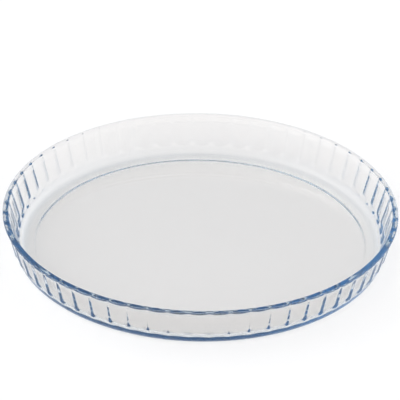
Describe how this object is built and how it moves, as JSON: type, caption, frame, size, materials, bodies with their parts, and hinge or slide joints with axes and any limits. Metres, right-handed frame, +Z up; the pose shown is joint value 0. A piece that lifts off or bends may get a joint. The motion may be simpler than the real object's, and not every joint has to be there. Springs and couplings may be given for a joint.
{
  "type": "pie dish",
  "caption": "Round shallow pie dish of clear pressed glass, with a wall that leans outward and is fluted inside, a smooth rim band, a rounded heel and a foot ring.",
  "frame": {"origin": "centre of the underside, in the plane of the foot ring", "axes": "+Z up along the dish's axis; -Y is the front, where one of the flutes' hollows faces"},
  "size_m": [0.28, 0.28, 0.0305],
  "materials": {
    "clear_glass": "clear pressed glass, fire-polished and glossy, faintly blue where it is seen edge-on"
  },
  "bodies": {
    "root": {"glass_dish": "clear_glass"}
  },
  "joints": []
}
